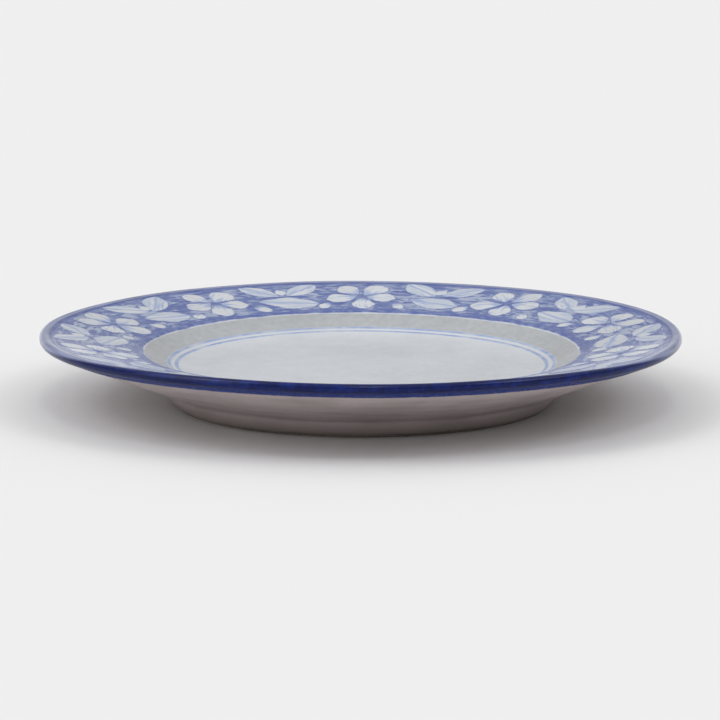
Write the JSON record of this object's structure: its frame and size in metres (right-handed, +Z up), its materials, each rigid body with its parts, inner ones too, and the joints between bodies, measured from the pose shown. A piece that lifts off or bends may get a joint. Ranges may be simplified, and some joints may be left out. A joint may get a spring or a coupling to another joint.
{
  "type": "dinner plate",
  "caption": "Round ceramic side plate on a foot ring, with a cobalt lip band, a floral painted flange and a plain white well with two fine lines.",
  "frame": {"origin": "centre of the foot, on the table", "axes": "+Z up along the plate's axis"},
  "size_m": [0.215, 0.215, 0.0244],
  "materials": {
    "clay": "fired stoneware clay, unglazed",
    "bare_foot": "bare fired clay, matt",
    "white_glaze": "glossy off-white glaze with faint mottling",
    "back_glaze": "smooth taupe grey glaze",
    "cobalt_band": "glossy deep cobalt",
    "cobalt_wash": "brushed cobalt under clear glaze",
    "cobalt_line": "brushed cobalt line under clear glaze",
    "white_petal": "off-white under clear glaze",
    "pale_blue": "pale blue wash under clear glaze"
  },
  "bodies": {
    "root": {"clay_body": "clay", "foot_ring": "bare_foot", "face_glaze": "white_glaze", "back_glaze": "back_glaze", "recess_glaze": "back_glaze", "lip_band": "cobalt_band", "border_ground": "cobalt_wash", "border_line": "cobalt_line", "blossom_petals": "white_petal", "blossom_centres": "cobalt_line", "leaves": "pale_blue", "buds": "white_petal", "outer_well_line": "pale_blue", "inner_well_line": "pale_blue"}
  },
  "joints": []
}
